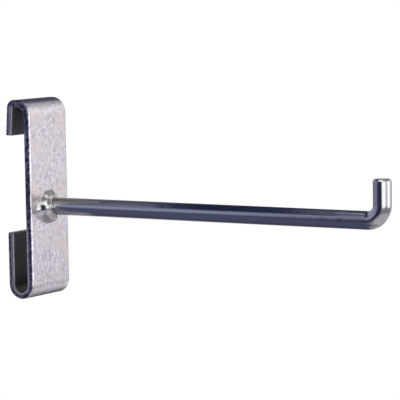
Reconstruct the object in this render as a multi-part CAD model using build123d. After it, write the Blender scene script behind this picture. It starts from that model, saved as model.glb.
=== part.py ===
from build123d import *
from math import cos, radians, sin
import os

# Hook for a wire grid panel, in millimetres: a flat steel strap folded into a hook at each end,
# a round rod that stands out from it and turns up at its tip, and the weld between the two.
# Frame: +X runs along the rod and away from the panel, +Z is up and Y runs across the strap.
# The origin is on the strap's rear face, where the line of the rod's axis meets it.

# Strap: flat bar with rolled edges
STRAP_WIDTH = 24.4
STRAP_THICKNESS = 2.7
STRAP_EDGE_RADIUS = 0.75
STRAP_HEIGHT = 76.2
ROD_ABOVE_STRAP_BOTTOM = 35.0

# Upper fold: a wide front bend, a short flat and a tight rear bend into a flared lip
FRONT_BEND_INNER_RADIUS = 3.1
TOP_FLAT = 1.55
REAR_BEND_INNER_RADIUS = 0.4
UPPER_LIP_DROP = 13.6
UPPER_LIP_FLARE_DEG = 4.0

# Lower fold: a half-round U with an upright lip
LOWER_SLOT = 5.9
LOWER_LIP_RISE = 25.45
LIP_END_RADIUS = 0.4

# Rod: round bar, butted on the strap's front face
ROD_DIAMETER = 6.6
ROD_REACH = 146.7
ROD_BEND_INNER_RADIUS = 2.5
ROD_TIP_HEIGHT = 14.85
ROD_TIP_ROUNDING = 0.95

# Weld: a collar with a sloping flank and a steeper crown
WELD_TOE_WIDTH = 2.7
WELD_TOE_HEIGHT = 0.3
WELD_COLLAR_WALL = 1.1
WELD_COLLAR_START = 1.4
WELD_LENGTH = 2.8

# Lumps on the collar where the welder paused, each a ball: its turn about the rod from +Y towards +Z,
# how far its centre lies out from the rod's side and off the strap's face, and its radius
NEAR_LUMP_TURN_DEG = 197.0
NEAR_LUMP_OUT = 1.5
NEAR_LUMP_OFF_FACE = 1.5
NEAR_LUMP_RADIUS = 2.85
LOWER_LUMP_TURN_DEG = 252.0
LOWER_LUMP_OUT = 1.3
LOWER_LUMP_OFF_FACE = 1.3
LOWER_LUMP_RADIUS = 2.2
UPPER_LUMP_TURN_DEG = 92.0
UPPER_LUMP_OUT = 0.6
UPPER_LUMP_OFF_FACE = 0.1
UPPER_LUMP_RADIUS = 2.4

# A rounding takes at most this share of the radius or half thickness that it sits on
ROUNDING_LIMIT = 0.8

STRAP_FRONT = STRAP_THICKNESS
STRAP_BOTTOM = -ROD_ABOVE_STRAP_BOTTOM
STRAP_TOP = STRAP_BOTTOM + STRAP_HEIGHT
ROD_RADIUS = ROD_DIAMETER / 2
EDGE_RADIUS = min(STRAP_EDGE_RADIUS, ROUNDING_LIMIT * STRAP_THICKNESS / 2)


def strap_fold_line():
    """Mid-line of the folded strap in the XZ plane, from the upper lip's end to the lower lip's end."""
    half = STRAP_THICKNESS / 2
    front_radius = FRONT_BEND_INNER_RADIUS + half
    rear_radius = REAR_BEND_INNER_RADIUS + half
    lower_radius = LOWER_SLOT / 2 + half
    flare = radians(UPPER_LIP_FLARE_DEG)

    flat_z = STRAP_TOP - half
    flat_front = Vector(half - front_radius, flat_z)
    flat_rear = flat_front - Vector(TOP_FLAT, 0)
    rear_centre = flat_rear - Vector(0, rear_radius)
    upper_lip = rear_centre + Vector(-cos(flare), sin(flare)) * rear_radius
    upper_lip_length = (upper_lip.Y - (STRAP_TOP - UPPER_LIP_DROP)) / cos(flare)
    up_the_lip = Vector(sin(flare), cos(flare))
    leg_top = Vector(half, flat_z - front_radius)
    leg_bottom = Vector(half, STRAP_BOTTOM + half + lower_radius)
    lower_lip = leg_bottom - Vector(2 * lower_radius, 0)

    line = Line(upper_lip - up_the_lip * upper_lip_length, upper_lip)
    line += JernArc(upper_lip, up_the_lip, rear_radius, UPPER_LIP_FLARE_DEG - 90)
    line += Line(flat_rear, flat_front)
    line += JernArc(flat_front, (1, 0), front_radius, -90)
    line += Line(leg_top, leg_bottom)
    line += JernArc(leg_bottom, (0, -1), lower_radius, -180)
    line += Line(lower_lip, (lower_lip.X, STRAP_BOTTOM + LOWER_LIP_RISE))
    return Plane.XZ * line


def mounting_strap():
    """Flat bar with rounded edges carried along the fold line, with its two cut ends eased."""
    fold_line = strap_fold_line()
    start = Plane(fold_line @ 0, x_dir=(0, 1, 0), z_dir=fold_line % 0)
    strap = sweep(start * RectangleRounded(STRAP_WIDTH, STRAP_THICKNESS, EDGE_RADIUS), path=fold_line)
    lip_ends = [strap.faces().sort_by_distance(fold_line @ end)[0] for end in (0, 1)]
    end_edges = [edge for face in lip_ends for edge in face.edges()]
    return fillet(end_edges, min(LIP_END_RADIUS, ROUNDING_LIMIT * EDGE_RADIUS))


def hook_rod():
    """Round bar from the strap's front face, bent up a right angle, with its tip's rim rounded over."""
    bend_radius = ROD_BEND_INNER_RADIUS + ROD_RADIUS
    tip_x = STRAP_FRONT + ROD_REACH - ROD_RADIUS
    bend_start = Vector(tip_x - bend_radius, 0)
    axis = Line((STRAP_FRONT, 0), bend_start)
    axis += JernArc(bend_start, (1, 0), bend_radius, 90)
    axis += Line((tip_x, bend_radius), (tip_x, ROD_TIP_HEIGHT))
    rod = sweep(Plane.YZ.offset(STRAP_FRONT) * Circle(ROD_RADIUS), path=Plane.XZ * axis)
    tip_face = rod.faces().sort_by(Axis.Z)[-1]
    return fillet(tip_face.edges(), min(ROD_TIP_ROUNDING, ROUNDING_LIMIT * ROD_RADIUS))


def weld_collar():
    """Boss round the rod's root: a thin toe on the strap, a sloping flank and a crown that meets the rod."""
    toe = ROD_RADIUS + WELD_TOE_WIDTH
    flank_top = (WELD_COLLAR_START, ROD_RADIUS + WELD_COLLAR_WALL)
    crown = [flank_top, (WELD_LENGTH, ROD_RADIUS), (WELD_LENGTH, 0)]
    outline = Polyline((0, 0), (0, toe), (WELD_TOE_HEIGHT, toe), *crown, close=True)
    return Pos(STRAP_FRONT, 0, 0) * revolve(make_face(outline), axis=Axis.X)


def weld_lump(turn_deg, out, off_face, radius):
    """Ball of weld metal at a turn about the rod, set by how far its centre lies out from rod and face."""
    turn = radians(turn_deg)
    from_axis = ROD_RADIUS + out
    centre = Pos(STRAP_FRONT + off_face, from_axis * cos(turn), from_axis * sin(turn))
    return centre * Sphere(radius)


def weld_bead():
    """Weld metal on the strap's front face: the collar with its lumps, hollow where the rod stands."""
    bead = weld_collar()
    bead += weld_lump(NEAR_LUMP_TURN_DEG, NEAR_LUMP_OUT, NEAR_LUMP_OFF_FACE, NEAR_LUMP_RADIUS)
    bead += weld_lump(LOWER_LUMP_TURN_DEG, LOWER_LUMP_OUT, LOWER_LUMP_OFF_FACE, LOWER_LUMP_RADIUS)
    bead += weld_lump(UPPER_LUMP_TURN_DEG, UPPER_LUMP_OUT, UPPER_LUMP_OFF_FACE, UPPER_LUMP_RADIUS)
    return split(bead, Plane.YZ.offset(STRAP_FRONT), keep=Keep.TOP) - hook_rod()


os.makedirs("parts", exist_ok=True)
for make_piece in (mounting_strap, hook_rod, weld_bead):
    export_step(make_piece(), f"parts/{make_piece.__name__}.step")
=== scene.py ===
"""Looks of a chrome-plated hook for a wire grid panel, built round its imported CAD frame.

The three CAD nodes are replaced by finer surfaces of the same size: the folded mounting
strap, the bent rod and the lumpy weld bead that joins them. Polished plating shows little
but what it mirrors, so a studio of white walls, slate screens and dark cards stands round
the hook. Lengths are in metres and angles in radians, unless a name or a note says otherwise.
"""

import logging
import math
from collections.abc import Mapping, Sequence
from dataclasses import dataclass
from enum import Enum

import bpy
import numpy as np
from mathutils import Matrix, Vector


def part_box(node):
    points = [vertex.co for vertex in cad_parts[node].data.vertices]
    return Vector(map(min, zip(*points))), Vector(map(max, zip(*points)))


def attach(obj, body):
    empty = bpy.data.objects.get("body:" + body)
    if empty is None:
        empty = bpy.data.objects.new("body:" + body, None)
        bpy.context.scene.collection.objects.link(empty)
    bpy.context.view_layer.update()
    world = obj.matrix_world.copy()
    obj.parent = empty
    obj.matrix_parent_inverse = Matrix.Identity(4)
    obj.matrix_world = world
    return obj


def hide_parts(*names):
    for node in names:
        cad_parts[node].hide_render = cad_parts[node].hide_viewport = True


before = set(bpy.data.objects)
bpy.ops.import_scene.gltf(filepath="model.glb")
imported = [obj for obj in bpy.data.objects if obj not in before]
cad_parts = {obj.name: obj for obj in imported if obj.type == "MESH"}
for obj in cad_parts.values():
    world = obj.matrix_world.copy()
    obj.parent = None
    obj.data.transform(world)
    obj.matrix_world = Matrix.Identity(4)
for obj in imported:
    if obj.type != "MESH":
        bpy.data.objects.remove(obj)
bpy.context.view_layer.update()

LOG = logging.getLogger("grid_panel_hook")
MM = 0.001
BODY = "root"

# Numbers of a Mix node's sockets, because its names repeat for each type of value
SHARE, NUMBER_A, NUMBER_B, COLOUR_A, COLOUR_B = 0, 2, 3, 6, 7
NUMBER_OUT, COLOUR_OUT = 0, 2

# The values at which a smooth step stands at 0 and at 1, in that order
Fade = tuple[float, float]


class Node(Enum):
    """The CAD nodes, each of which one piece of the scene stands for."""

    STRAP = "mounting_strap"
    ROD = "hook_rod"
    WELD = "weld_bead"


class Slot(Enum):
    """The record's material slots."""

    STRAP = "strap_chrome"
    ROD = "rod_chrome"
    WELD = "weld_chrome"


# Colour and node helpers


def linear(hex_colour: str, strength: float = 1.0) -> tuple[float, float, float, float]:
    """Turns an sRGB hex colour into the linear colour that a node takes.

    Each channel follows the sRGB curve: a straight foot, and above it a power of 2.4.

    Args:
        hex_colour: The colour as six hex digits after a #.
        strength: A factor on the linear colour, above 1 for a lamp.

    Returns:
        Linear red, green and blue times the strength, and an alpha of 1.
    """
    srgb = [int(hex_colour[i : i + 2], 16) / 255 for i in (1, 3, 5)]
    flat = [c / 12.92 if c <= 0.04045 else ((c + 0.055) / 1.055) ** 2.4 for c in srgb]
    return (flat[0] * strength, flat[1] * strength, flat[2] * strength, 1.0)


def add_node(
    tree: bpy.types.NodeTree,
    kind: str,
    values: Mapping[str | int, object] | None = None,
    links: Mapping[str | int, bpy.types.NodeSocket] | None = None,
    **settings: object,
) -> bpy.types.Node:
    """Adds one node with its settings, socket values and incoming links.

    Args:
        tree: The node tree that gets the node.
        kind: The node's type name.
        values: Values for unlinked inputs, by socket name or number.
        links: Output sockets to link, by the name or number of the input.
        **settings: The node's own properties.

    Returns:
        The new node.
    """
    node = tree.nodes.new(kind)
    for name, setting in settings.items():
        setattr(node, name, setting)
    for name, value in (values or {}).items():
        node.inputs[name].default_value = value
    for name, socket in (links or {}).items():
        tree.links.new(socket, node.inputs[name])
    return node


def new_material(name: str) -> bpy.types.Material:
    """Makes a material with an empty node tree.

    Args:
        name: The material's name.

    Returns:
        The new material.
    """
    material = bpy.data.materials.new(name)
    material.use_nodes = True
    material.node_tree.nodes.clear()
    return material


# Mesh helpers


def grid_quads(rows: int, columns: int, closed_rows: bool = False) -> np.ndarray:
    """Joins the points of a grid whose columns run round a closed ring.

    Args:
        rows: Number of rings.
        columns: Number of points on a ring.
        closed_rows: Whether the last ring is joined to the first.

    Returns:
        An array of four point numbers for each face, row after row.
    """
    row = np.arange(rows if closed_rows else rows - 1)[:, None]
    column = np.arange(columns)[None, :]
    above = (row + 1) % rows
    beside = (column + 1) % columns
    corners = [row * columns + column, row * columns + beside]
    corners += [above * columns + beside, above * columns + column]
    return np.stack(np.broadcast_arrays(*corners), axis=-1).reshape(-1, 4)


def end_caps(rows: int, columns: int) -> list[np.ndarray]:
    """Gives a grid's first ring, turned round, and its last as the faces that close it."""
    ring = np.arange(columns)
    return [ring[::-1], ring + (rows - 1) * columns]


def link_mesh(
    name: str, points: np.ndarray, faces: Sequence[Sequence[int]]
) -> bpy.types.Object:
    """Puts points and faces into a new mesh object at the origin of the scene.

    Args:
        name: The object's name.
        points: Point places in metres, one row each.
        faces: The point numbers of each face.

    Returns:
        The linked object.
    """
    mesh = bpy.data.meshes.new(name)
    mesh.from_pydata(points.tolist(), [], faces)
    piece = bpy.data.objects.new(name, mesh)
    bpy.context.scene.collection.objects.link(piece)
    return piece


def new_piece(
    name: str,
    points: np.ndarray,
    quads: np.ndarray,
    caps: Sequence[np.ndarray] = (),
) -> bpy.types.Object:
    """Makes a closed surface into a piece with its faces outwards.

    The volume under the faces is the sum, over the fan triangles of each face, of the
    corners' triple product over six. Where it comes out negative, every face is turned.

    Args:
        name: The piece's name.
        points: Point places in metres, one row each.
        quads: Four point numbers for each smooth face.
        caps: Rings of point numbers that close an open end with one flat face each.

    Returns:
        The linked object.
    """
    first, second, third, fourth = (points[quads[:, i]] for i in range(4))
    halves = np.cross(first, second) * third + np.cross(first, third) * fourth
    step = 1 if halves.sum() >= 0 else -1
    faces = [face[::step].tolist() for face in (*quads, *caps)]
    piece = link_mesh(name, points, faces)
    piece.data.polygons.foreach_set("use_smooth", np.arange(len(faces)) < len(quads))
    piece.data.validate()
    piece.data.update()
    return piece


def add_attribute(piece: bpy.types.Object, name: str, values: np.ndarray) -> None:
    """Stores one number for each point of a piece under that attribute name."""
    attribute = piece.data.attributes.new(name, "FLOAT", "POINT")
    attribute.data.foreach_set("value", values.astype(np.float32).ravel())


def add_uv(piece: bpy.types.Object, name: str, along: np.ndarray, across: np.ndarray) -> None:
    """Lays a UV map in metres on a piece.

    Args:
        piece: The piece.
        name: The map's name.
        along: The map's first value for each point.
        across: The map's second value for each point.
    """
    mesh = piece.data
    corner_points = np.zeros(len(mesh.loops), dtype=np.int32)
    mesh.loops.foreach_get("vertex_index", corner_points)
    pairs = np.stack([along.ravel(), across.ravel()], axis=-1)[corner_points]
    layer = mesh.uv_layers.new(name=name)
    layer.uv.foreach_set("vector", pairs.astype(np.float32).ravel())


def smooth_step(value: np.ndarray, start: float, end: float) -> np.ndarray:
    """Goes from 0 to 1 as a value goes from start to end, level at both.

    It is 3 squares less 2 cubes of the value's share of the way.

    Args:
        value: The values.
        start: The value where the step stands at 0, as it does anywhere before.
        end: The value where it stands at 1, as it does anywhere beyond.

    Returns:
        One number from 0 to 1 for each value.
    """
    share = np.clip((value - start) / (end - start), 0.0, 1.0)
    return share * share * (3 - 2 * share)


def eased(steps: int) -> np.ndarray:
    """Gives shares from 0 to 1 at half a cosine's spacing, closer together at both ends."""
    return 0.5 - 0.5 * np.cos(np.linspace(0.0, np.pi, steps + 1))


def towards(azimuth: np.ndarray | float, elevation: np.ndarray | float) -> np.ndarray:
    """Gives the unit vectors that point away from the hook at these angles.

    X is the azimuth's sine and Y the negative of its cosine, both times the elevation's
    cosine, and Z is the elevation's sine.

    Args:
        azimuth: Degrees round the hook, 0 on the -Y side and 90 on the +X side.
        elevation: Degrees above the horizon.

    Returns:
        X, Y and Z along the last axis.
    """
    turn, rise = np.radians(azimuth), np.radians(elevation)
    level = np.cos(rise)
    return np.stack([np.sin(turn) * level, -np.cos(turn) * level, np.sin(rise)], axis=-1)


# Bent bars


@dataclass(frozen=True)
class Run:
    """One stretch of a bent bar's centreline: straight, or an arc where it turns.

    Attributes:
        length: Length along the centreline, in metres.
        steps: Number of grid steps along the stretch.
        turn: Change of heading in radians, positive to the left.
    """

    length: float
    steps: int
    turn: float = 0.0

    @classmethod
    def arc(cls, radius: float, turn_deg: float, steps: int) -> "Run":
        """Makes an arc from its centreline radius and its turn in degrees."""
        turn = math.radians(turn_deg)
        return cls(abs(radius * turn), steps, turn)


@dataclass(frozen=True)
class Centreline:
    """A bent bar's middle line in the XZ plane.

    Attributes:
        points: X and Z of each station, in metres.
        heading: The line's direction at each station, in radians from +X towards +Z.
        travel: The length covered up to each station, in metres.
    """

    points: np.ndarray
    heading: np.ndarray
    travel: np.ndarray

    def place(self, across: np.ndarray, off: np.ndarray) -> np.ndarray:
        """Carries a profile along the line.

        A point is the station's place, plus the profile's across value along +Y, plus
        its off value along the heading turned left by a right angle.

        Args:
            across: Distance along +Y for each station and profile point.
            off: Distance along the left normal for each station and profile point.

        Returns:
            The points, station after station.
        """
        sine, cosine = np.sin(self.heading)[:, None], np.cos(self.heading)[:, None]
        x = self.points[:, :1] - sine * off
        z = self.points[:, 1:] + cosine * off
        return np.stack([x, np.broadcast_to(across, x.shape), z], axis=-1).reshape(-1, 3)


def trace(start: tuple[float, float], heading_deg: float, runs: Sequence[Run]) -> Centreline:
    """Follows the runs of a bent bar one after the other.

    Stations stand at half a cosine's spacing, closer together towards a run's ends. On a
    straight run they move along the heading. On an arc the heading grows evenly, and the
    move is the radius times the change of the heading's sine and of its negative cosine.

    Args:
        start: X and Z of the first station, in metres.
        heading_deg: Direction of the first run, in degrees from +X towards +Z.
        runs: The stretches in order.

    Returns:
        The centreline through all stations.
    """
    heading = math.radians(heading_deg)
    points = [np.array([start])]
    headings = [np.array([heading])]
    travels = [np.zeros(1)]
    for run in runs:
        share = eased(run.steps)[1:]
        angle = heading + run.turn * share
        if run.turn:
            sines = np.sin(angle) - math.sin(heading)
            cosines = math.cos(heading) - np.cos(angle)
            move = run.length / run.turn * np.stack([sines, cosines], axis=-1)
        else:
            direction = np.array([math.cos(heading), math.sin(heading)])
            move = run.length * share[:, None] * direction
        points.append(points[-1][-1] + move)
        headings.append(angle)
        travels.append(travels[-1][-1] + run.length * share)
        heading += run.turn
    return Centreline(*(np.concatenate(part) for part in (points, headings, travels)))


def rounded_inset(distance: np.ndarray, radius: float) -> np.ndarray:
    """Gives how far a rounded end draws in at a distance from the end.

    It is a quarter circle: the radius less the root of its square minus the square of
    what is left of the radius beyond the distance.

    Args:
        distance: Distance from the end, in metres.
        radius: The rounding's radius, in metres.

    Returns:
        The draw-in at each distance, in metres.
    """
    left = np.clip(radius - distance, 0.0, radius)
    return radius - np.sqrt(radius**2 - left**2)


# Finishes


@dataclass(frozen=True)
class Noise:
    """A cloudy pattern in a finish.

    Attributes:
        size_mm: Width of its largest features, in millimetres.
        detail: Number of finer layers over the largest.
        fray: Strength of each finer layer beside the one before.
    """

    size_mm: float
    detail: float = 2.0
    fray: float = 0.5

    def inputs(self) -> dict[str, float]:
        """Gives the pattern for a noise node on coordinates in metres."""
        scale = 1.0 / (self.size_mm * MM)
        return {"Scale": scale, "Detail": self.detail, "Roughness": self.fray}


@dataclass(frozen=True)
class Ramp:
    """A straight rise or fall with a pattern's value, level beyond both ends.

    Attributes:
        low: The pattern's value at the start.
        high: The pattern's value at the end.
        at_low: What the ramp gives at the start.
        at_high: What the ramp gives at the end.
    """

    low: float = 0.0
    high: float = 1.0
    at_low: float = 0.0
    at_high: float = 1.0

    def inputs(self) -> dict[str, float]:
        """Gives the ramp for a node that maps one range to another."""
        ends = {"From Min": self.low, "From Max": self.high}
        return ends | {"To Min": self.at_low, "To Max": self.at_high}


@dataclass(frozen=True)
class Relief:
    """How deep a pattern's bumps are, in millimetres, and the share of it that shows."""

    depth_mm: float
    strength: float

    def inputs(self) -> dict[str, float]:
        """Gives the relief for a bump node."""
        return {"Strength": self.strength, "Distance": self.depth_mm * MM}


@dataclass(frozen=True)
class Coat:
    """A colour laid over a plating in places: a tint, burnish, painted shade or a painted
    reflection.

    Attributes:
        share: How much of it there is at each point, from 0 to 1.
        colour: Its colour as an sRGB hex value.
        roughness: Its roughness, or None where it leaves the plating's own.
    """

    share: bpy.types.NodeSocket
    colour: str
    roughness: float | None = None


@dataclass(frozen=True)
class Plating:
    """Bare plated metal, whose tone varies from place to place.

    Attributes:
        light: Its light tone as an sRGB hex value.
        dark: Its dark tone, likewise.
        polish: Its roughness, from the dark tone to the light one.
    """

    light: str
    dark: str
    polish: Ramp

    def plate(
        self,
        tree: bpy.types.NodeTree,
        tone: bpy.types.NodeSocket,
        roughness: bpy.types.NodeSocket,
        normal: bpy.types.NodeSocket,
        coats: Sequence[Coat],
    ) -> None:
        """Ends a material's tree in metal, which keeps the default IOR, under its coats.

        Args:
            tree: The material's node tree.
            tone: Share of the light tone.
            roughness: The plating's own roughness.
            normal: The surface's normal over its bumps.
            coats: The colours laid over the plating, painted shade among them, from the lowest
                up.
        """
        colour = add_node(
            tree,
            "ShaderNodeMix",
            {COLOUR_A: linear(self.dark), COLOUR_B: linear(self.light)},
            {SHARE: tone},
            data_type="RGBA",
        ).outputs[COLOUR_OUT]
        for coat in coats:
            colour = add_node(
                tree,
                "ShaderNodeMix",
                {COLOUR_B: linear(coat.colour)},
                {SHARE: coat.share, COLOUR_A: colour},
                data_type="RGBA",
            ).outputs[COLOUR_OUT]
            if coat.roughness is not None:
                roughness = add_node(
                    tree,
                    "ShaderNodeMix",
                    {NUMBER_B: coat.roughness},
                    {SHARE: coat.share, NUMBER_A: roughness},
                ).outputs[NUMBER_OUT]
        metal = add_node(
            tree,
            "ShaderNodeBsdfPrincipled",
            {"Metallic": 1.0},
            {"Base Color": colour, "Roughness": roughness, "Normal": normal},
        )
        add_node(tree, "ShaderNodeOutputMaterial", links={"Surface": metal.outputs["BSDF"]})


@dataclass(frozen=True)
class SatinChrome(Plating):
    """Chrome plating over flat steel bar that was tumbled before it was plated.

    Tumbling leaves the bar faintly dimpled, so its wide face mirrors nothing sharply: the
    eye sees an even pale grey, mottled at about the grain of the tumbling stones, with larger
    and barely tinted clouds. Its rolled edges and the lower lip's end are painted a patchy
    dark slate blue, a painted dark reflection, and the corners beside them are burnished in
    broken bright lines. The inside of a fold is duller, and its colour is darkened there as
    painted shade, darkest at the bottom of the U.
    """

    light: str = "#F4EFF7"
    dark: str = "#B9B3BF"
    polish: Ramp = Ramp(at_low=0.36, at_high=0.24)
    warm: str = "#E1D7D4"
    # painted dark reflection on the narrow edges and the lower lip's end
    edge: str = "#474B62"
    rim: str = "#F4F2F8"
    rim_roughness: float = 0.12
    # painted shade inside the folds, with a duller roughness below
    dull_shaded_recess: str = "#9B999C"
    recess_roughness: float = 0.5
    # painted shade, darker still at the bottom of the U
    deep: str = "#68676A"
    mottle: Noise = Noise(1.5, fray=0.55)
    grain: Noise = Noise(0.8, fray=0.6)  # really about half as wide, too fine for the render
    clouds: Noise = Noise(7.0, fray=0.55)
    grain_share: float = 0.4
    dimples: Relief = Relief(0.03, 0.35)
    tone_ramp: Ramp = Ramp(0.345, 0.655)
    warm_ramp: Ramp = Ramp(0.42, 0.66, at_high=0.7)
    rim_ramp: Ramp = Ramp(0.36, 0.58, at_low=0.3)
    edge_ramp: Ramp = Ramp(0.42, 0.62, at_low=1.0, at_high=0.55)
    deep_ramp: Ramp = Ramp(1.0, 2.0)
    recess_attribute: str = "dull_shaded_recess"
    edge_attribute: str = "edge"
    rim_attribute: str = "rim"

    def material(self) -> bpy.types.Material:
        """Builds the node material.

        Returns:
            The material, for a piece that has the three attributes.
        """
        material = new_material("satin_chrome_over_tumbled_bar")
        tree = material.node_tree
        place = add_node(tree, "ShaderNodeTexCoord").outputs["Object"]
        mottle, grain, clouds = (
            add_node(
                tree, "ShaderNodeTexNoise", noise.inputs(), {"Vector": place}
            ).outputs["Fac"]
            for noise in (self.mottle, self.grain, self.clouds)
        )
        dull_shaded_recess, edge, rim = (
            add_node(tree, "ShaderNodeAttribute", attribute_name=name).outputs["Fac"]
            for name in (self.recess_attribute, self.edge_attribute, self.rim_attribute)
        )
        pitted = add_node(
            tree,
            "ShaderNodeMix",
            {SHARE: self.grain_share},
            {NUMBER_A: mottle, NUMBER_B: grain},
        ).outputs[NUMBER_OUT]
        tone, warmth, breaks, patches, bottom_shade = (
            add_node(
                tree, "ShaderNodeMapRange", ramp.inputs(), {"Value": value}
            ).outputs["Result"]
            for value, ramp in (
                (pitted, self.tone_ramp),
                (clouds, self.warm_ramp),
                (mottle, self.rim_ramp),
                (mottle, self.edge_ramp),
                (dull_shaded_recess, self.deep_ramp),
            )
        )
        burnished, painted_edge_shade = (
            add_node(
                tree, "ShaderNodeMath", links={0: mark, 1: share}, operation="MULTIPLY"
            ).outputs["Value"]
            for mark, share in ((rim, breaks), (edge, patches))
        )
        polish = add_node(tree, "ShaderNodeMapRange", self.polish.inputs(), {"Value": tone})
        bump = add_node(tree, "ShaderNodeBump", self.dimples.inputs(), {"Height": pitted})
        coats = [
            Coat(warmth, self.warm),
            Coat(burnished, self.rim, self.rim_roughness),
            # painted dark reflection on the narrow edges
            Coat(painted_edge_shade, self.edge),
            # painted shade in the folds, deepest at the bottom of the U, over duller plating
            Coat(dull_shaded_recess, self.dull_shaded_recess, self.recess_roughness),
            Coat(bottom_shade, self.deep),
        ]
        self.plate(tree, tone, polish.outputs["Result"], bump.outputs["Normal"], coats)
        return material


@dataclass(frozen=True)
class BrightChrome(Plating):
    """Chrome plating over drawn round bar.

    Drawing leaves the bar smooth with faint lines along it, so it mirrors the studio as
    long clear stripes whose edges are only slightly frayed. Near the root the plating is
    duller, so the stripes blur, and its colour is darkened there as painted shade, all round
    but for one streak that stays bright.
    """

    light: str = "#C8C9CA"
    dark: str = "#BFC0C2"
    polish: Ramp = Ramp(at_low=0.08, at_high=0.14)
    # painted shade on the rod's root, beside a duller roughness
    dull_shaded_root: str = "#9D9C9B"
    root_roughness: float = 0.2
    lines: Noise = Noise(0.35)  # drawn lines are finer, and would not show in the render
    line_stretch: float = 40.0
    line_relief: Relief = Relief(0.004, 0.15)
    waves: Noise = Noise(4.0, detail=1.0)
    wave_relief: Relief = Relief(0.06, 0.5)
    root_attribute: str = "dull_shaded_rod_root"
    uv_map: str = "along_bar"

    def material(self) -> bpy.types.Material:
        """Builds the node material.

        Returns:
            The material, for a piece that has the UV map and the attribute for the root's
            dullness and painted shade.
        """
        material = new_material("bright_chrome_over_drawn_bar")
        tree = material.node_tree
        along = add_node(tree, "ShaderNodeUVMap", uv_map=self.uv_map).outputs["UV"]
        stretched = add_node(
            tree,
            "ShaderNodeMapping",
            {"Scale": (1.0 / self.line_stretch, 1.0, 1.0)},
            {"Vector": along},
        ).outputs["Vector"]
        lines, waves = (
            add_node(
                tree,
                "ShaderNodeTexNoise",
                noise.inputs(),
                {"Vector": place},
                noise_dimensions="2D",
            ).outputs["Fac"]
            for noise, place in ((self.lines, stretched), (self.waves, along))
        )
        dull_shaded_root = add_node(
            tree, "ShaderNodeAttribute", attribute_name=self.root_attribute
        ).outputs["Fac"]
        polish = add_node(tree, "ShaderNodeMapRange", self.polish.inputs(), {"Value": lines})
        roughness = add_node(
            tree,
            "ShaderNodeMath",
            {1: self.root_roughness},
            {0: dull_shaded_root, 2: polish.outputs["Result"]},
            operation="MULTIPLY_ADD",
        ).outputs["Value"]
        wavy = add_node(tree, "ShaderNodeBump", self.wave_relief.inputs(), {"Height": waves})
        bump = add_node(
            tree,
            "ShaderNodeBump",
            self.line_relief.inputs(),
            {"Height": lines, "Normal": wavy.outputs["Normal"]},
        )
        # painted shade on the root, left out along one bright streak
        coats = [Coat(dull_shaded_root, self.dull_shaded_root)]
        self.plate(tree, lines, roughness, bump.outputs["Normal"], coats)
        return material


@dataclass(frozen=True)
class WeldChrome(Plating):
    """Chrome plating over a weld that was left as it cooled.

    The plating follows frozen ripples and a dull oxide bloom, so the eye sees small hard
    glints beside soft, slightly warm patches.
    """

    light: str = "#E2E0E1"
    dark: str = "#BDBABA"
    polish: Ramp = Ramp(at_low=0.22, at_high=0.04)
    bloom: str = "#B4AFAE"
    bloom_roughness: float = 0.4
    ripples: Noise = Noise(1.1, detail=1.0)
    ripple_relief: Relief = Relief(0.05, 0.25)
    patches: Noise = Noise(2.2)
    tone_ramp: Ramp = Ramp(0.38, 0.62)
    bloom_attribute: str = "bloom"

    def material(self) -> bpy.types.Material:
        """Builds the node material.

        Returns:
            The material, for a piece that has the bloom attribute.
        """
        material = new_material("bright_chrome_over_raw_weld")
        tree = material.node_tree
        place = add_node(tree, "ShaderNodeTexCoord").outputs["Object"]
        patches, ripples = (
            add_node(
                tree, "ShaderNodeTexNoise", noise.inputs(), {"Vector": place}
            ).outputs["Fac"]
            for noise in (self.patches, self.ripples)
        )
        tone = add_node(
            tree, "ShaderNodeMapRange", self.tone_ramp.inputs(), {"Value": patches}
        ).outputs["Result"]
        polish = add_node(tree, "ShaderNodeMapRange", self.polish.inputs(), {"Value": tone})
        bloom = add_node(tree, "ShaderNodeAttribute", attribute_name=self.bloom_attribute)
        relief = self.ripple_relief.inputs()
        bump = add_node(tree, "ShaderNodeBump", relief, {"Height": ripples})
        coats = [Coat(bloom.outputs["Fac"], self.bloom, self.bloom_roughness)]
        self.plate(tree, tone, polish.outputs["Result"], bump.outputs["Normal"], coats)
        return material


def dress(
    piece: bpy.types.Object, node: Node, material: bpy.types.Material
) -> None:
    """Gives a piece its material and its CAD body, and hides the CAD node that it stands for.

    Args:
        piece: The finished piece.
        node: The CAD node that it replaces.
        material: Its material.
    """
    piece.data.materials.append(material)
    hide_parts(node.value)
    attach(piece, BODY)


# The hook's pieces


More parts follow.
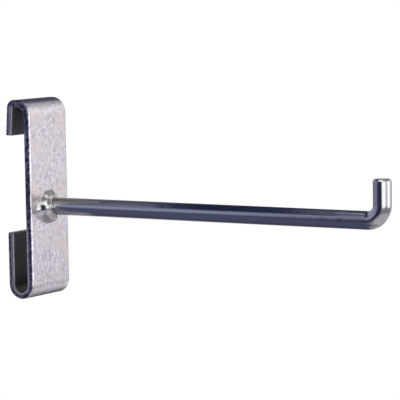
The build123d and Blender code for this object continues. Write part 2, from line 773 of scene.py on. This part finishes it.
@dataclass
class MountingStrap:
    """Flat bar folded into a short hook at its top and a deep U at its bottom.

    The front leg's rear face lies in the plane X = 0, against the panel's wires.
    """

    width: float
    thickness: float
    top: float
    bottom: float
    edge_radius: float = 0.75 * MM
    front_bend_inner: float = 3.1 * MM
    top_flat: float = 1.55 * MM
    rear_bend_inner: float = 0.4 * MM
    upper_lip_drop: float = 13.6 * MM
    upper_lip_flare_deg: float = 4.0
    lower_slot: float = 5.9 * MM
    lower_lip_rise: float = 25.45 * MM
    lip_end_radius: float = 0.4 * MM

    # Grid steps along the fold line and round the section
    end_steps: int = 8
    lip_steps: int = 14
    rear_bend_steps: int = 16
    top_flat_steps: int = 6
    front_bend_steps: int = 24
    leg_steps: int = 30
    lower_bend_steps: int = 48
    corner_steps: int = 8
    flat_steps: int = 14

    # Where the plating differs from that of the flat, painted shade and painted reflection
    # among it, with what each fade is measured in
    fold_fade: Fade = (-5.0 * MM, 1.0 * MM)  # height past a lip's end, into the fold
    recess_fade: Fade = (0.35, 0.65)  # how squarely a point faces inwards
    bottom_fade: Fade = (10.5 * MM, 3.5 * MM)  # height above the bottom
    edge_fade: Fade = (0.62, 0.75)  # how squarely a point faces sideways
    edge_bend_gain: float = 0.4  # taken off both ends of it round the upper bends
    bend_start_fade: Fade = (60.0, 30.0)  # heading in degrees, round the rear bend
    bend_end_fade: Fade = (-75.0, -45.0)  # heading in degrees, round the front bend
    edge_top_fade: Fade = (-15.0 * MM, -10.0 * MM)  # height from the top
    inner_fade: Fade = (-0.05, 0.15)  # share of the thickness, inwards of the middle
    lip_end_fade: Fade = (-1.0 * MM, 0.0)  # travel from the lower lip's end
    rim_reach_fade: Fade = (3.0 * MM, 9.0 * MM)  # distance from the top and the bottom
    rim_start_fade: Fade = (0.67, 0.8)  # how squarely a point faces front or back
    rim_end_fade: Fade = (0.995, 0.95)  # the same, towards the flat

    @classmethod
    def from_frame(cls) -> "MountingStrap":
        """Takes the strap's width, thickness and height from its CAD node."""
        low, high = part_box(Node.STRAP.value)
        return cls(high.y - low.y, high.x, high.z, low.z)

    def fold_line(self) -> Centreline:
        """Traces the middle of the bar from the upper lip's end to the lower lip's end.

        Returns:
            The centreline, with short runs at both ends for the ends' rounding.
        """
        half = self.thickness / 2
        front = self.front_bend_inner + half
        rear = self.rear_bend_inner + half
        lower = self.lower_slot / 2 + half
        flare = math.radians(self.upper_lip_flare_deg)
        flat_z = self.top - half
        bend_x = half - front - self.top_flat
        lip_x = bend_x - rear * math.cos(flare)
        lip_z = flat_z - rear + rear * math.sin(flare)
        lip_length = (lip_z - (self.top - self.upper_lip_drop)) / math.cos(flare)
        start = (lip_x - lip_length * math.sin(flare), self.top - self.upper_lip_drop)
        leg = flat_z - front - (self.bottom + half + lower)
        end = self.lip_end_radius
        runs = [
            Run(end, self.end_steps),
            Run(lip_length - end, self.lip_steps),
            Run.arc(rear, self.upper_lip_flare_deg - 90, self.rear_bend_steps),
            Run(self.top_flat, self.top_flat_steps),
            Run.arc(front, -90, self.front_bend_steps),
            Run(leg, self.leg_steps),
            Run.arc(lower, -180, self.lower_bend_steps),
            Run(self.lower_lip_rise - half - lower - end, self.lip_steps),
            Run(end, self.end_steps),
        ]
        return trace(start, 90 - self.upper_lip_flare_deg, runs)

    def bar_section(self) -> tuple[np.ndarray, np.ndarray, np.ndarray]:
        """Walks once round the bar's section, a rectangle with four rounded corners.

        Every point is a centre plus the corner radius in one direction. Round a corner the
        centre stands and the direction turns by a right angle. Along a side the direction
        stands and the centre slides to the next corner at half a cosine's spacing.

        Returns:
            The centres' across and off values and the directions in radians.
        """
        reach_y = self.width / 2 - self.edge_radius
        reach_n = self.thickness / 2 - self.edge_radius
        corners = np.array([[1, 1], [-1, 1], [-1, -1], [1, -1]]) * [reach_y, reach_n]
        share = eased(self.flat_steps)[1:-1, None]
        turn = np.linspace(0.0, np.pi / 2, self.corner_steps + 1)
        centres = []
        directions = []
        for index, corner in enumerate(corners):
            following = corners[(index + 1) % len(corners)]
            centres += [np.tile(corner, (len(turn), 1)), corner + share * (following - corner)]
            quarter = index * np.pi / 2
            directions += [quarter + turn, np.full(len(share), quarter + np.pi / 2)]
        centre = np.concatenate(centres)
        return centre[:, 0], centre[:, 1], np.concatenate(directions)

    def depth_in_fold(self, height: np.ndarray) -> np.ndarray:
        """Marks the heights at which the bar lies in one of the folds.

        The mark is a smooth step of the height past a lip's end, into its fold.

        Args:
            height: Z of the stations, as a column.

        Returns:
            One value from 0 to 1 for each station.
        """
        upper_end = self.top - self.upper_lip_drop
        lower_end = self.bottom + self.lower_lip_rise
        depth = np.maximum(height - upper_end, lower_end - height)
        return smooth_step(depth, *self.fold_fade)

    def edge_shading(
        self, line: Centreline, off: np.ndarray, direction: np.ndarray
    ) -> np.ndarray:
        """Marks the bar's two narrow sides and the lower lip's end, for a painted dark
        reflection.

        The mark is a smooth step of how squarely a section point faces sideways, and takes in
        more of the corners round the upper bends. In a fold it is taken back on the inner half
        by a smooth step of the place across the thickness, but not from the upper lip's bend to
        a little way down the leg. The lower lip's end is marked by a smooth step of the travel.

        Args:
            line: The fold line.
            off: Off values of the section's centres, positive on the outer side.
            direction: The way that each section point faces, in radians from +Y.

        Returns:
            One value from 0 to 1 for each station and section point.
        """
        height, heading = line.points[:, 1:], np.degrees(line.heading)[:, None]
        past_lip = smooth_step(heading, *self.bend_start_fade)
        round_bend = past_lip * smooth_step(heading, *self.bend_end_fade)
        near_top = past_lip * smooth_step(height - self.top, *self.edge_top_fade)
        squarely = np.abs(np.cos(direction)) + self.edge_bend_gain * round_bend
        sideways = smooth_step(squarely, *self.edge_fade)
        inward = -(off + self.edge_radius * np.sin(direction)) / self.thickness
        inner_half = self.depth_in_fold(height) * smooth_step(inward, *self.inner_fade)
        past_end = (line.travel - line.travel[-1])[:, None]
        lip_end = smooth_step(past_end, *self.lip_end_fade)
        return np.maximum(sideways * (1 - inner_half * (1 - near_top)), lip_end)

    def rim(self, height: np.ndarray, direction: np.ndarray) -> np.ndarray:
        """Marks the bar's four long corners, away from the strap's top and bottom.

        The mark rises and falls by smooth steps of how squarely a section point faces front
        or back, so that it lies beyond the middle of a corner. Smooth steps of the height
        fade it out towards both bends.

        Args:
            height: Z of the stations, as a column.
            direction: The way that each section point faces, in radians from +Y.

        Returns:
            One value from 0 to 1 for each station and section point.
        """
        above = smooth_step(height - self.bottom, *self.rim_reach_fade)
        below = smooth_step(self.top - height, *self.rim_reach_fade)
        squarely = np.abs(np.sin(direction))
        starts = smooth_step(squarely, *self.rim_start_fade)
        return above * below * starts * smooth_step(squarely, *self.rim_end_fade)

    def dull_shaded_recess(self, height: np.ndarray, direction: np.ndarray) -> np.ndarray:
        """Marks the faces that look into a fold, for duller plating and painted shade, twice
        over at the bottom of the U.

        The mark is the depth in the fold times a smooth step of the way that a section
        point faces, which takes in the bar's inner side only. A smooth step of the height
        doubles it at the bottom.

        Args:
            height: Z of the stations, as a column.
            direction: The way that each section point faces, in radians from +Y.

        Returns:
            One value from 0 to 2 for each station and section point.
        """
        facing_in = smooth_step(-np.sin(direction), *self.recess_fade)
        at_bottom = smooth_step(height - self.bottom, *self.bottom_fade)
        return self.depth_in_fold(height) * facing_in * (1 + at_bottom)

    def build(self, finish: SatinChrome) -> bpy.types.Object:
        """Carries the section along the fold line and closes both lips' ends.

        A point's distance from its section centre is the corner radius less the draw-in of
        the nearer rounded end.

        Args:
            finish: The plating.

        Returns:
            The dressed strap.
        """
        line = self.fold_line()
        across, off, direction = self.bar_section()
        to_end = np.minimum(line.travel, line.travel[-1] - line.travel)
        radius = (self.edge_radius - rounded_inset(to_end, self.lip_end_radius))[:, None]
        points = line.place(
            across + radius * np.cos(direction), off + radius * np.sin(direction)
        )
        grid = (len(line.travel), len(direction))
        piece = new_piece("folded_strap", points, grid_quads(*grid), end_caps(*grid))
        height = line.points[:, 1:]
        add_attribute(piece, finish.recess_attribute, self.dull_shaded_recess(height, direction))
        add_attribute(piece, finish.edge_attribute, self.edge_shading(line, off, direction))
        add_attribute(piece, finish.rim_attribute, self.rim(height, direction))
        dress(piece, Node.STRAP, finish.material())
        return piece


@dataclass
class HookRod:
    """Round bar that leaves the strap square, runs straight and turns up at its tip."""

    root: float
    reach: float
    radius: float
    tip_height: float
    bend_inner: float = 2.5 * MM
    tip_rounding: float = 0.95 * MM
    root_reach: float = 30.0 * MM
    bright_streak_turn_deg: float = 179.0
    bright_streak_fade: Fade = (9.6, 21.6)  # degrees from the bright streak's middle
    straight_steps: int = 40
    bend_steps: int = 32
    upright_steps: int = 10
    tip_steps: int = 10
    ring_points: int = 72

    @classmethod
    def from_frame(cls) -> "HookRod":
        """Takes the rod's ends and radius from its CAD node."""
        low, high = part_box(Node.ROD.value)
        return cls(low.x, high.x, (high.y - low.y) / 2, high.z)

    def middle_line(self) -> Centreline:
        """Traces the rod's axis from the strap's face to the top of the tip.

        Returns:
            The centreline, with a short run at the tip for its rounding.
        """
        bend = self.bend_inner + self.radius
        straight = self.reach - self.radius - bend - self.root
        upright = self.tip_height - bend - self.tip_rounding
        runs = [
            Run(straight, self.straight_steps),
            Run.arc(bend, 90, self.bend_steps),
            Run(upright, self.upright_steps),
            Run(self.tip_rounding, self.tip_steps),
        ]
        return trace((self.root, 0.0), 0.0, runs)

    def dull_shaded_root(self, travel: np.ndarray, turn: np.ndarray) -> np.ndarray:
        """Marks the root for duller plating and painted shade, all round but for one bright
        streak.

        The mark is a smooth step of what is left of the shade's reach, times one of the turn
        away from the streak on the side.

        Args:
            travel: Distance of the stations from the root, for each ring point.
            turn: Turn of the ring's points about the axis, in radians from +Y towards +Z.

        Returns:
            One value from 0 to 1 for each station and ring point.
        """
        apart = np.abs(np.degrees(turn) - self.bright_streak_turn_deg)
        near_root = smooth_step(travel, self.root_reach, 0.0)
        return near_root * smooth_step(apart, *self.bright_streak_fade)

    def build(self, finish: BrightChrome) -> bpy.types.Object:
        """Carries a circle along the axis, drawn in at the tip's rounded rim.

        Args:
            finish: The plating.

        Returns:
            The dressed rod, with its length and girth as a UV map.
        """
        line = self.middle_line()
        turn = np.linspace(0.0, 2 * np.pi, self.ring_points, endpoint=False)
        inset = rounded_inset(line.travel[-1] - line.travel, self.tip_rounding)
        ring = (self.radius - inset)[:, None]
        points = line.place(ring * np.cos(turn), ring * np.sin(turn))
        grid = (len(line.travel), self.ring_points)
        piece = new_piece("bent_rod", points, grid_quads(*grid), end_caps(*grid))
        along, girth = np.broadcast_arrays(line.travel[:, None], self.radius * turn)
        add_uv(piece, finish.uv_map, along, girth)
        add_attribute(piece, finish.root_attribute, self.dull_shaded_root(along, turn))
        dress(piece, Node.ROD, finish.material())
        return piece


@dataclass(frozen=True)
class WeldLump:
    """One round lump of the bead, where the welder paused.

    Attributes:
        turn_deg: Its place round the rod, from +Y towards +Z.
        out: Its centre's distance from the rod's side, in metres.
        off_face: Its centre's distance from the strap's face, in metres.
        radius: Its radius, in metres.
    """

    turn_deg: float
    out: float
    off_face: float
    radius: float


@dataclass
class WeldBead:
    """The bead round the rod's root: a collar with round lumps and a hollow toe.

    Lines fan out from the corner between strap and rod. A line's turn is its place round
    the rod, and its tilt is its rise from the strap, both in radians.
    """

    face: float
    rod_radius: float
    width: float = 2.0 * MM
    length: float = 2.3 * MM
    collar_power: float = 1.3
    blend_power: float = 6.0
    toe_flare: float = 0.5 * MM
    toe_angle: float = 1.0
    toe_power: int = 4
    skirt: float = 1.6 * MM
    skirt_turn_deg: float = 194.0
    skirt_spread_deg: float = 40.0
    ripple: float = 0.02 * MM
    # Each wave's share of the ripple, its number round the rod, its slant and its start
    ripple_waves: tuple[tuple[float, int, float, float], ...] = (
        (1.0, 9, 5.0, 0.0),
        (0.7, 14, -7.0, 1.3),
    )
    bloom: float = 0.8
    ring_points: int = 240
    skin_steps: int = 72
    lumps: tuple[WeldLump, ...] = (
        WeldLump(172, 0.8 * MM, 1.4 * MM, 2.7 * MM),
        WeldLump(194, 0.8 * MM, 1.4 * MM, 2.7 * MM),
        WeldLump(224, 0.7 * MM, 1.3 * MM, 2.5 * MM),
        WeldLump(252, 0.6 * MM, 1.1 * MM, 2.6 * MM),
        WeldLump(115, 0.5 * MM, 0.1 * MM, 1.9 * MM),
        WeldLump(75, 0.5 * MM, 0.1 * MM, 1.9 * MM),
    )

    @classmethod
    def from_frame(cls) -> "WeldBead":
        """Takes the strap's face and the rod's radius from the CAD nodes."""
        low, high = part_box(Node.ROD.value)
        return cls(low.x, (high.y - low.y) / 2)

    def lump_depth(self, lump: WeldLump, turn: np.ndarray, tilt: np.ndarray) -> np.ndarray:
        """Gives how far a line from the corner runs before it leaves a lump.

        It leaves the ball at the greater root of the quadratic for its distance from the
        ball's centre, and counts 0 where it misses the ball.

        Args:
            lump: The lump.
            turn: Turn of the lines, as a row.
            tilt: Tilt of the lines, as a column.

        Returns:
            The distance along each line, in metres.
        """
        apart = turn - math.radians(lump.turn_deg)
        centre_out = self.rod_radius + lump.out
        along_out = self.rod_radius - centre_out * np.cos(apart)
        middle = np.cos(tilt) * along_out - np.sin(tilt) * lump.off_face
        start = along_out**2 + (centre_out * np.sin(apart)) ** 2 + lump.off_face**2
        under_root = middle**2 - start + lump.radius**2
        leaves = np.sqrt(np.maximum(under_root, 0.0)) - middle
        return np.where(under_root > 0, np.maximum(leaves, 0.0), 0.0)

    def near_skirt(self, turn: np.ndarray) -> np.ndarray:
        """Gives a bell curve of the turn, 1 at the skirt's middle and 0 far from it."""
        apart = (np.degrees(turn) - self.skirt_turn_deg) / self.skirt_spread_deg
        return np.exp(-(apart**2))

    def skin_depth(self, turn: np.ndarray, tilt: np.ndarray) -> np.ndarray:
        """Gives how far the bead's skin lies from the corner along each line.

        It is a superellipse of the bead's width and length, blended with the lumps by a
        power mean that rounds off where they meet. A power of what is left of the toe's angle
        flares the skin out on to the strap, more so under the skirt, a bell curve of the
        turn. A sum of sines adds ripples.

        Args:
            turn: Turn of the lines, as a row.
            tilt: Tilt of the lines, as a column.

        Returns:
            The distance along each line, in metres.
        """
        power = self.collar_power
        sides = (np.cos(tilt) / self.width) ** power + (np.sin(tilt) / self.length) ** power
        total = (sides ** (-1 / power)) ** self.blend_power
        for lump in self.lumps:
            total = total + self.lump_depth(lump, turn, tilt) ** self.blend_power
        left = np.clip(1 - tilt / self.toe_angle, 0.0, 1.0)
        flare = (self.toe_flare + self.skirt * self.near_skirt(turn)) * left**self.toe_power
        waves = sum(
            share * np.sin(number * turn + slant * tilt + start)
            for share, number, slant, start in self.ripple_waves
        )
        rippled = self.ripple * waves * np.sin(2 * tilt)
        return total ** (1 / self.blend_power) + flare + rippled

    def build(self, finish: WeldChrome) -> bpy.types.Object:
        """Sweeps the bead's skin round the corner between the strap and the rod.

        A point lies at its skin depth from the corner, by the depth times the tilt's cosine
        out from the rod and times its sine off the strap. The corner's own ring closes the
        bead behind the skin.

        Args:
            finish: The plating.

        Returns:
            The dressed bead.
        """
        turn = np.linspace(0.0, 2 * np.pi, self.ring_points, endpoint=False)[None, :]
        tilt = np.linspace(0.0, np.pi / 2, self.skin_steps + 1)[:, None]
        skin = self.skin_depth(turn, tilt)
        depth = np.concatenate([skin, np.zeros_like(skin[:1])])
        tilt = np.concatenate([tilt, tilt[-1:]])
        out = self.rod_radius + depth * np.cos(tilt)
        x = self.face + depth * np.sin(tilt)
        points = np.stack([x, out * np.cos(turn), out * np.sin(turn)], axis=-1).reshape(-1, 3)
        quads = grid_quads(*out.shape, closed_rows=True)
        piece = new_piece("weld_bead_skin", points, quads)
        bloom = np.broadcast_to(self.bloom * (1 - self.near_skirt(turn)), out.shape)
        add_attribute(piece, finish.bloom_attribute, bloom)
        dress(piece, Node.WELD, finish.material())
        return piece


# The studio


@dataclass(frozen=True)
class Screen:
    """One patch of the studio's walls, seen from the hook.

    Attributes:
        azimuth: Middle of the patch in degrees, 0 on the -Y side and 90 on the +X side.
        elevation: Middle of the patch in degrees above the horizon.
        half_width: Half of its width in degrees.
        half_height: Half of its height in degrees.
        soft: Width of its faded edge in degrees.
        colour: Its colour as an sRGB hex value.
        strength: Its brightness, where 1 is the colour as written.
    """

    azimuth: float
    elevation: float
    half_width: float
    half_height: float
    soft: float
    colour: str
    strength: float = 1.0

    def cover(self, azimuth: np.ndarray, elevation: np.ndarray) -> np.ndarray:
        """Gives the patch's share of each wall point.

        It is a smooth step in azimuth times one in elevation, each across the faded edge.

        Args:
            azimuth: Azimuth of the wall points in degrees.
            elevation: Elevation of the wall points in degrees.

        Returns:
            Shares from 0 to 1.
        """
        turned = (azimuth - self.azimuth + 180) % 360 - 180
        share = np.ones_like(azimuth)
        spans = ((turned, self.half_width), (elevation - self.elevation, self.half_height))
        for offset, half in spans:
            outer, inner = half + self.soft / 2, half - self.soft / 2
            share = share * smooth_step(np.abs(offset), outer, inner)
        return share


@dataclass(frozen=True)
class Flag:
    """A card near the hook that only part of the rod mirrors, bent about the rod's axis.

    Attributes:
        start: X of its end towards the panel, in metres.
        end: X of its other end, in metres.
        low_deg: Its lower edge as a turn about the rod's axis, from the -Y side upwards.
        high_deg: Its upper edge, likewise.
        colour: Its colour as an sRGB hex value.
    """

    start: float
    end: float
    low_deg: float
    high_deg: float
    colour: str


def only_in_mirrors(thing: bpy.types.Object) -> None:
    """Hides a thing from all but mirrored rays, so that it shows in the plating alone."""
    for ray in ("camera", "diffuse", "shadow", "transmission"):
        setattr(thing, f"visible_{ray}", False)


@dataclass
class Studio:
    """White room with slate screens, dark cards, a pale floor and the photograph's camera."""

    centre: tuple[float, float, float] = (70 * MM, 0.0, 0.0)
    wall_distance: float = 2.4
    wall_columns: int = 360
    wall_rows: int = 180
    wall_top_deg: float = 89.5
    flag_distance: float = 0.25
    flag_steps: int = 24
    flags: tuple[Flag, ...] = (  # in order along the rod's axis, behind the panel
        Flag(-152 * MM, -136 * MM, 44, 105, "#646878"),
        Flag(-109 * MM, -96 * MM, 42, 132, "#454B66"),
        Flag(-96 * MM, -56 * MM, 42, 132, "#232A44"),
        Flag(-56 * MM, -27 * MM, 42, 132, "#2E3552"),
        Flag(-27 * MM, -2 * MM, 40, 132, "#565A70"),
    )
    floor_depth: float = 0.5
    floor_reach: float = 8.0
    floor_colour: str = "#E7E7E7"
    camera_azimuth: float = 32.02
    camera_elevation: float = 5.546
    camera_roll: float = -1.012
    camera_distance: float = 815.72 * MM
    camera_aim: tuple[float, float, float] = (70.881 * MM, 0.0, 4.688 * MM)
    camera_lens: float = 199.55
    camera_sensor: float = 36.0
    camera_clip: float = 100.0

    # Slate towards the panel and the near side, white to the front and above. Each patch
    # lies over those before it.
    screens: tuple[Screen, ...] = (
        Screen(-55, 0, 77, 100, 14, "#5A5F7E"),
        Screen(-78, 58, 75, 18, 16, "#71758E"),
        Screen(0, 82, 180, 16, 10, "#FFFFFF", 1.4),
        Screen(94, 58, 60, 24, 16, "#908D96"),
        Screen(9, 47, 41, 20, 8, "#FFFFFF", 1.6),
        Screen(-92, 22, 34, 22, 16, "#AEB2C8"),
        Screen(-62, 0, 17, 12, 14, "#8C90AC"),
        Screen(-38, 13, 22, 14, 18, "#A4A9C3"),
        Screen(-138, 49, 30, 16, 12, "#525668"),
        Screen(-42, 37, 16, 9, 10, "#8A8FA8"),
        Screen(-91, -22, 38, 12, 8, "#FFFFFF"),
        Screen(-90, -37, 22, 8, 8, "#F4F4F7"),
        Screen(-138, -52, 22, 14, 14, "#5E5E72"),
        Screen(-112, -56, 34, 15, 12, "#525368"),
        Screen(-7, -38, 14, 34, 14, "#8F8894"),
        Screen(75, -50, 80, 22, 18, "#CFCBD4"),
        Screen(168, -52, 24, 20, 16, "#C4C1C8"),
        Screen(-165, -66, 18, 14, 12, "#B0ABAE"),
        Screen(0, -84, 180, 10, 10, "#A09A9C"),
        Screen(75, -21, 72, 12, 8, "#9A98A4"),
        Screen(-4, 4, 24, 27, 9, "#36384A"),
        Screen(78, 9, 58, 15, 6, "#EDECF2"),
        Screen(48, 5, 18.5, 18, 5, "#FFFFFF", 1.75),
        Screen(115, 5, 21, 18, 7, "#FFFFFF", 1.7),
        Screen(172, -6, 21, 14, 12, "#ABA9AF"),
        Screen(178, 46, 36, 14, 26, "#9F9CA5"),
        Screen(-156, 25, 18, 19, 12, "#34344A"),
        Screen(-158, -17, 17, 21, 8, "#1E2030"),
    )

    def build_world(self) -> None:
        """Lights the room evenly with white."""
        world = bpy.data.worlds.new("white_studio")
        world.use_nodes = True
        tree = world.node_tree
        tree.nodes.clear()
        light = add_node(
            tree, "ShaderNodeBackground", {"Color": linear("#FFFFFF"), "Strength": 1.0}
        )
        add_node(tree, "ShaderNodeOutputWorld", links={"Surface": light.outputs["Background"]})
        bpy.context.scene.world = world

    def build_walls(self) -> None:
        """Makes the walls that the plating mirrors, on a ball round the hook.

        A wall point lies at the wall distance in the direction of its azimuth and elevation.
        Its colour starts white, and each screen in turn is mixed in by its share.
        """
        azimuth, elevation = np.meshgrid(
            np.linspace(0.0, 360.0, self.wall_columns, endpoint=False),
            np.linspace(-self.wall_top_deg, self.wall_top_deg, self.wall_rows),
        )
        colour = np.ones((*azimuth.shape, 4))
        for screen in self.screens:
            share = screen.cover(azimuth, elevation)[..., None]
            tint = np.array(linear(screen.colour, screen.strength))
            colour = colour + share * (tint - colour)
        spread = self.wall_distance * towards(azimuth, elevation).reshape(-1, 3)
        grid = azimuth.shape
        walls = new_piece(
            "studio_walls", np.array(self.centre) + spread, grid_quads(*grid), end_caps(*grid)
        )
        attribute = walls.data.attributes.new("wall_colour", "FLOAT_COLOR", "POINT")
        attribute.data.foreach_set("color", colour.astype(np.float32).ravel())
        material = new_material("studio_wall_paint")
        tree = material.node_tree
        paint = add_node(tree, "ShaderNodeAttribute", attribute_name="wall_colour")
        glow = add_node(tree, "ShaderNodeEmission", links={"Color": paint.outputs["Color"]})
        add_node(tree, "ShaderNodeOutputMaterial", links={"Surface": glow.outputs["Emission"]})
        walls.data.materials.append(material)
        only_in_mirrors(walls)

    def build_flag(self, flag: Flag) -> None:
        """Hangs one dark card over the hook, to darken the top of one stretch of the rod.

        It is part of a tube about the rod's axis: a point lies at the flags' distance from
        the axis, turned from the -Y side up over the hook.

        Args:
            flag: The card's place and colour.
        """
        turns = np.radians(np.linspace(flag.low_deg, flag.high_deg, self.flag_steps + 1))
        x, turn = np.meshgrid([flag.start, flag.end], turns)
        y, z = -self.flag_distance * np.cos(turn), self.flag_distance * np.sin(turn)
        points = np.stack([x, y, z], axis=-1).reshape(-1, 3)
        first = 2 * np.arange(self.flag_steps)[:, None]
        card = link_mesh("studio_flag", points, (first + [0, 1, 3, 2]).tolist())
        material = new_material("dark_card")
        tree = material.node_tree
        glow = add_node(tree, "ShaderNodeEmission", {"Color": linear(flag.colour)})
        add_node(tree, "ShaderNodeOutputMaterial", links={"Surface": glow.outputs["Emission"]})
        card.data.materials.append(material)
        only_in_mirrors(card)

    def build_floor(self) -> None:
        """Lays the pale floor, topped up to white where it is seen, under the hook's shadow."""
        corners = np.array([[-1, -1], [1, -1], [1, 1], [-1, 1]]) * self.floor_reach
        points = np.column_stack([corners, np.full(len(corners), -self.floor_depth)])
        floor = link_mesh("studio_floor", points, [[0, 1, 2, 3]])
        material = new_material("pale_floor_paint")
        tree = material.node_tree
        path = add_node(tree, "ShaderNodeLightPath")
        seen = path.outputs["Is Camera Ray"]
        for ray in ("Is Glossy Ray", "Is Transmission Ray"):
            rays = {0: seen, 1: path.outputs[ray]}
            either = add_node(tree, "ShaderNodeMath", links=rays, operation="MAXIMUM")
            seen = either.outputs["Value"]
        red, green, blue, alpha = linear(self.floor_colour)
        top_up = add_node(
            tree,
            "ShaderNodeEmission",
            {"Color": (1 - red, 1 - green, 1 - blue, alpha)},
            {"Strength": seen},
        )
        paint = add_node(tree, "ShaderNodeBsdfDiffuse", {"Color": (red, green, blue, alpha)})
        both = add_node(
            tree,
            "ShaderNodeAddShader",
            links={0: paint.outputs["BSDF"], 1: top_up.outputs["Emission"]},
        )
        add_node(tree, "ShaderNodeOutputMaterial", links={"Surface": both.outputs["Shader"]})
        floor.data.materials.append(material)
        floor.visible_glossy = False  # the plating mirrors the lower walls in its place

    def build_camera(self) -> None:
        """Stands the camera where the photograph was taken from.

        It looks from its azimuth, elevation and distance at its aim, and its sides are
        turned about the line of sight by the roll.
        """
        roll = math.radians(self.camera_roll)
        back = Vector(towards(self.camera_azimuth, self.camera_elevation))
        level = Vector((0.0, 0.0, 1.0)).cross(back).normalized()
        upright = back.cross(level)
        right = math.cos(roll) * level + math.sin(roll) * upright
        up = math.cos(roll) * upright - math.sin(roll) * level
        data = bpy.data.cameras.new("photo_camera")
        data.sensor_width = self.camera_sensor
        data.lens = self.camera_lens
        data.clip_end = self.camera_clip
        camera = bpy.data.objects.new("photo_camera", data)
        bpy.context.scene.collection.objects.link(camera)
        place = Vector(self.camera_aim) + back * self.camera_distance
        sides = Matrix((right, up, back)).transposed().to_4x4()
        camera.matrix_world = Matrix.Translation(place) @ sides
        bpy.context.scene.camera = camera

    def build(self) -> None:
        """Builds the light, the walls, the flags, the floor and the camera."""
        self.build_world()
        self.build_walls()
        for flag in self.flags:
            self.build_flag(flag)
        self.build_floor()
        self.build_camera()
        bpy.context.scene.view_settings.view_transform = "Standard"


def main() -> None:
    """Builds the hook's pieces and the studio round them."""
    logging.basicConfig(level=logging.INFO, format="%(name)s: %(message)s")
    pieces = [
        MountingStrap.from_frame().build(SatinChrome()),
        HookRod.from_frame().build(BrightChrome()),
        WeldBead.from_frame().build(WeldChrome()),
    ]
    for piece in pieces:
        LOG.info("%s: %d faces", piece.name, len(piece.data.polygons))
    Studio().build()


if __name__ == "__main__":
    main()
